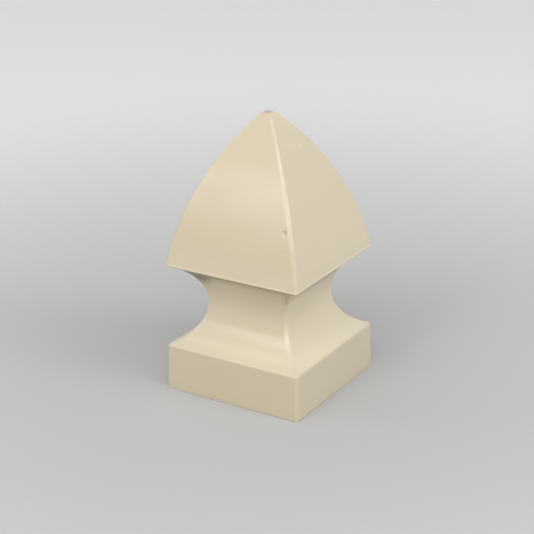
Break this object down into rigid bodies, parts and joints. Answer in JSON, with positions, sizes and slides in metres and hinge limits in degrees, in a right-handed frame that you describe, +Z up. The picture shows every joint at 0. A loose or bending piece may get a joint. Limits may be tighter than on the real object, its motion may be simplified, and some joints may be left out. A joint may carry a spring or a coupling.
{
  "type": "post cap",
  "caption": "Square gothic post cap moulded in sand-coloured vinyl: a base band that drops over a fence post, a coved neck and a four-sided bowed head with a blunt tip.",
  "frame": {"origin": "centre of the bottom rim, on the plane that the rim rests on", "axes": "+Z up through the neck to the tip, X and Y square to the four faces"},
  "size_m": [0.1084, 0.1084, 0.199],
  "materials": {
    "vinyl": "glossy moulded vinyl, sand"
  },
  "bodies": {
    "root": {"post_cap": "vinyl"}
  },
  "joints": []
}
